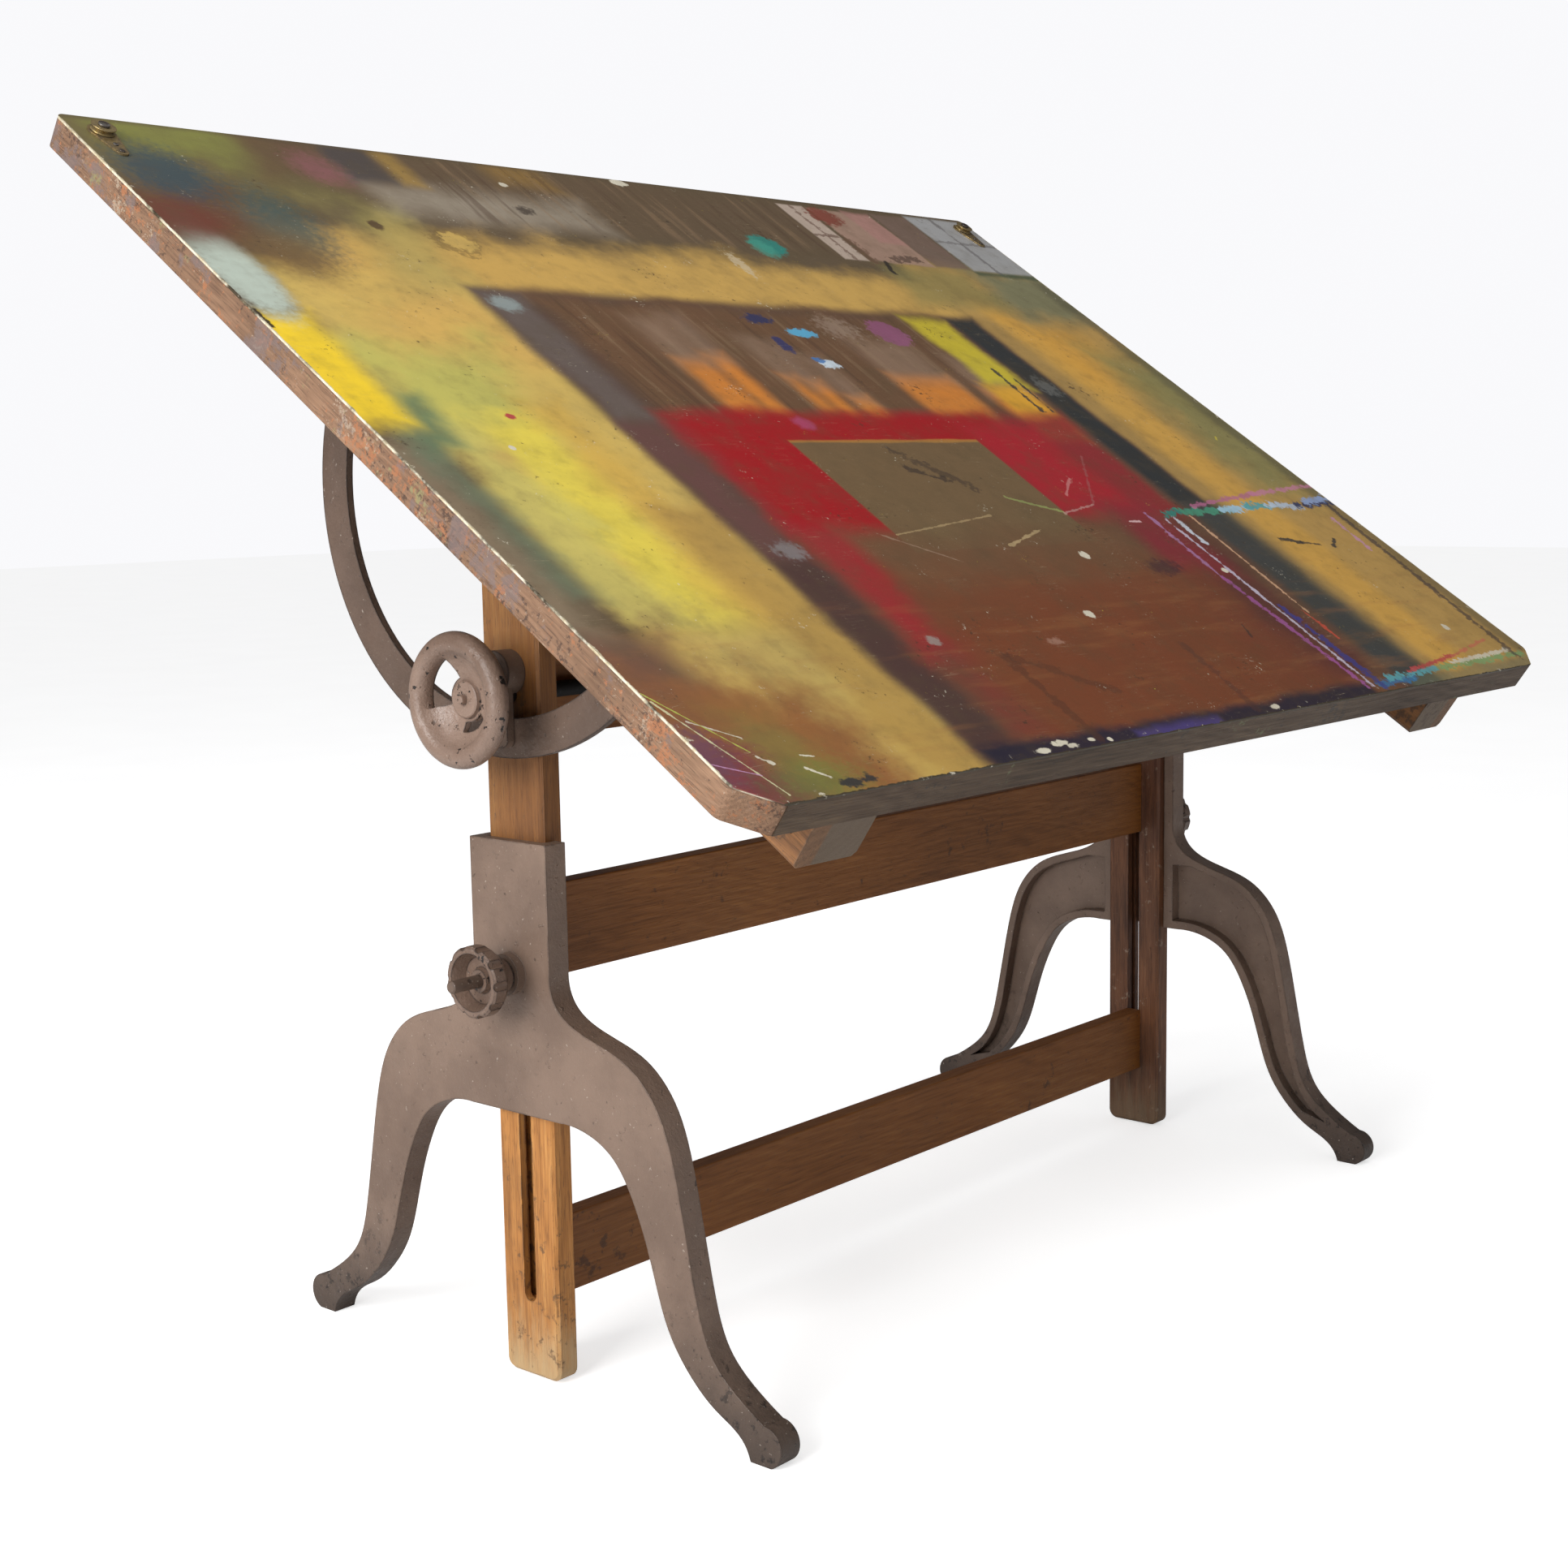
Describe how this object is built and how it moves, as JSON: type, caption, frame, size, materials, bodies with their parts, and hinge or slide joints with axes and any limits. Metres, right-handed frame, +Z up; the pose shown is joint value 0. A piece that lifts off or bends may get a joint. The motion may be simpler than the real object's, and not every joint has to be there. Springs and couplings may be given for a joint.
{
  "type": "adjustable drafting table",
  "caption": "Drafting table: cast legs with S-curved feet, a slotted timber frame that slides up, and a large board that tilts on iron quadrants locked by a handwheel.",
  "frame": {"origin": "on the floor, midway between the four feet, which is also below the middle of the board's plan extent", "axes": "+X along the board's long edge, towards the end with no handwheel; -Y towards the user's side, where the low edge is; +Z up"},
  "size_m": [1.524, 0.9544, 1.2687],
  "materials": {
    "iron_paint": "grey-brown paint over cast iron, satin, chipped",
    "iron_paint_dark": "worn dark grey-brown paint over cast iron",
    "wheel_paint": "worn grey-brown paint, rubbed smooth",
    "bolt_steel": "dull, age-darkened",
    "black_rod": "black, satin",
    "post_oak": "worn varnished oak",
    "rail_oak": "dark varnished oak",
    "board_wood": "bare, grey-brown, worn",
    "cleat_wood": "bare, reddish-brown, worn",
    "batten_wood": "varnished, dark",
    "painted_cover": "covering sheet with brushed and sprayed paint",
    "plate_brass": "tarnished",
    "pulley_brass": "tarnished"
  },
  "bodies": {
    "legs": {"leg_left": "iron_paint", "leg_right": "iron_paint", "height_bolts": "bolt_steel", "height_washers": "bolt_steel"},
    "knob_left": {"height_knob_left": "iron_paint_dark"},
    "knob_right": {"height_knob_right": "iron_paint_dark"},
    "frame": {"post_left": "post_oak", "post_right": "post_oak", "stretcher_lower": "rail_oak", "stretcher_upper": "rail_oak", "top_rail": "rail_oak", "tie_rod": "black_rod", "rod_nut": "bolt_steel", "clamp_plate_left": "iron_paint_dark", "clamp_plate_right": "iron_paint_dark", "pivot_bracket_left": "iron_paint_dark", "pivot_bracket_right": "iron_paint_dark", "pivot_pins": "bolt_steel", "bracket_screws": "bolt_steel"},
    "wheel": {"handwheel": "wheel_paint"},
    "board": {"board_panel": "board_wood", "end_cleat_left": "cleat_wood", "end_cleat_right": "cleat_wood", "board_cover": "painted_cover", "quadrant_left": "iron_paint", "quadrant_right": "iron_paint", "quadrant_screws": "bolt_steel", "batten_front_left": "batten_wood", "batten_front_right": "batten_wood", "batten_back_left": "batten_wood", "batten_back_right": "batten_wood", "batten_screws": "bolt_steel", "pulley_plate_left": "plate_brass", "pulley_plate_right": "plate_brass", "plate_screws": "bolt_steel", "pulley_axles": "bolt_steel"},
    "rule_pulley_left": {"pulley_left": "pulley_brass"},
    "rule_pulley_right": {"pulley_right": "pulley_brass"}
  },
  "joints": [
    {"name": "height_slide", "type": "slide", "parent": "legs", "child": "frame", "axis": [0, 0, 1], "range_m": [0, 0.33]},
    {"name": "left_height_knob", "type": "hinge", "parent": "legs", "child": "knob_left", "pos_m": [-0.62, 0, 0.419], "axis": [1, 0, 0], "continuous": true},
    {"name": "right_height_knob", "type": "hinge", "parent": "legs", "child": "knob_right", "pos_m": [0.62, 0, 0.419], "axis": [1, 0, 0], "continuous": true},
    {"name": "tilt_handwheel", "type": "hinge", "parent": "frame", "child": "wheel", "pos_m": [-0.62, 0, 0.693], "axis": [1, 0, 0], "continuous": true},
    {"name": "board_tilt", "type": "hinge", "parent": "frame", "child": "board", "pos_m": [0, 0, 0.893], "axis": [1, 0, 0], "range_deg": [-34.3, 35.7]},
    {"name": "left_rule_pulley", "type": "hinge", "parent": "board", "child": "rule_pulley_left", "pos_m": [-0.728, 0.40877, 1.25379], "axis": [0, -0.5635, 0.8261], "continuous": true},
    {"name": "right_rule_pulley", "type": "hinge", "parent": "board", "child": "rule_pulley_right", "pos_m": [0.728, 0.40877, 1.25379], "axis": [0, -0.5635, 0.8261], "continuous": true}
  ]
}
